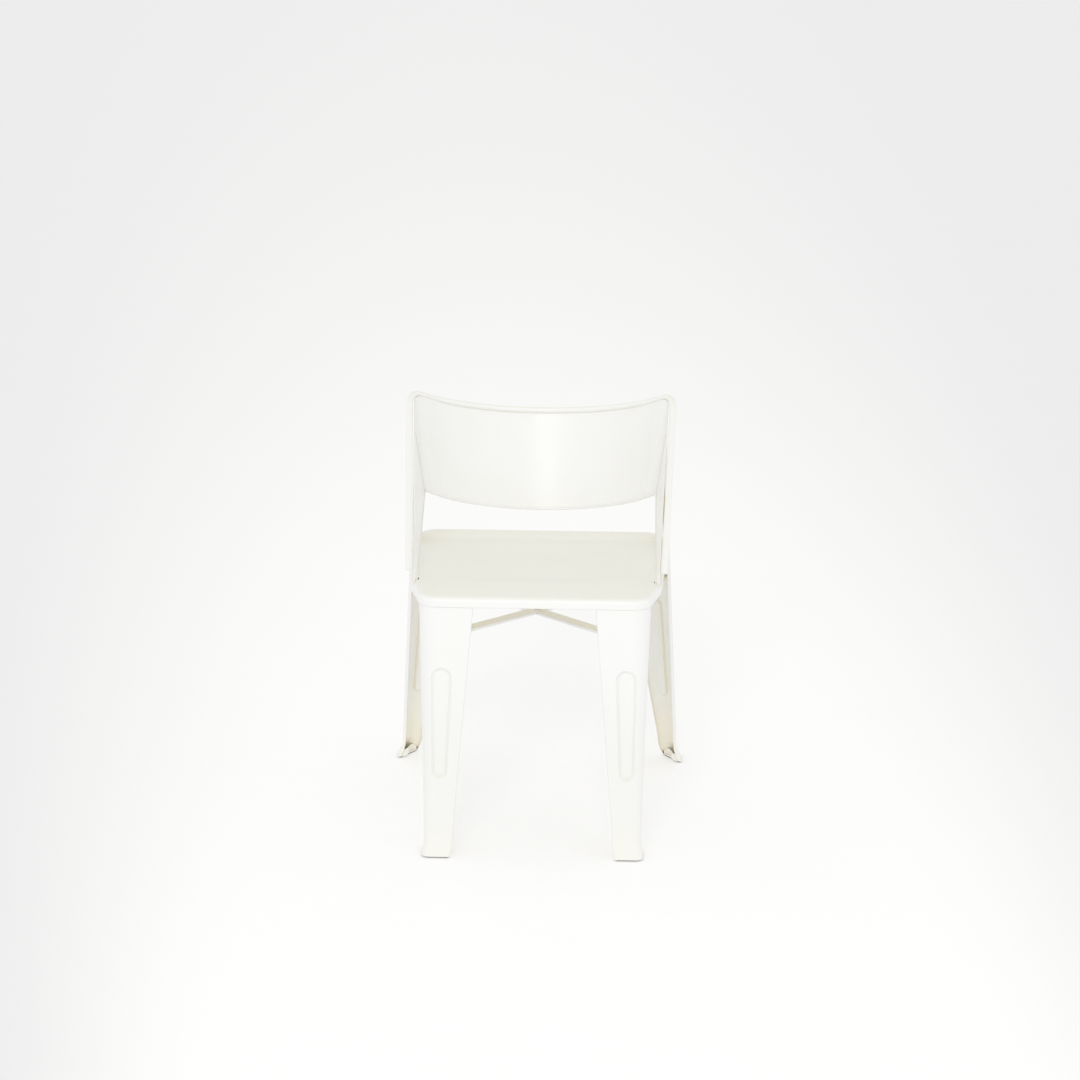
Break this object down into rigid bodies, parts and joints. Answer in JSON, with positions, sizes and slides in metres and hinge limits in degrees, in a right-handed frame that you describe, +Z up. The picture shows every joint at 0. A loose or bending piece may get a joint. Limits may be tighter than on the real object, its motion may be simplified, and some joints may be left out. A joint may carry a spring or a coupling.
{
  "type": "stacking chair",
  "caption": "Stacking chair in pressed painted sheet steel: dished seat, wrapped back band with arms and rim tube, tapered channel legs and a crossed brace.",
  "frame": {"origin": "on the floor, under the middle of the overall box", "axes": "+X to the right seen from the front, +Y to the rear, +Z up"},
  "size_m": [0.522, 0.525, 0.7048],
  "materials": {
    "cream_paint": "semi-gloss cream white paint",
    "foot_plate_paint": "semi-gloss cream white paint",
    "rivet_paint": "semi-gloss cream white paint",
    "sole_rubber": "matt black rubber"
  },
  "bodies": {
    "root": {"seat_pan": "cream_paint", "back_shell": "cream_paint", "back_tube": "cream_paint", "front_left_leg": "cream_paint", "front_left_foot_plate": "foot_plate_paint", "front_left_sole": "sole_rubber", "front_right_leg": "cream_paint", "front_right_foot_plate": "foot_plate_paint", "front_right_sole": "sole_rubber", "rear_left_leg": "cream_paint", "rear_left_foot_plate": "foot_plate_paint", "rear_left_sole": "sole_rubber", "rear_right_leg": "cream_paint", "rear_right_foot_plate": "foot_plate_paint", "rear_right_sole": "sole_rubber", "brace_over": "cream_paint", "brace_under": "cream_paint", "brace_rivet": "rivet_paint"}
  },
  "joints": []
}
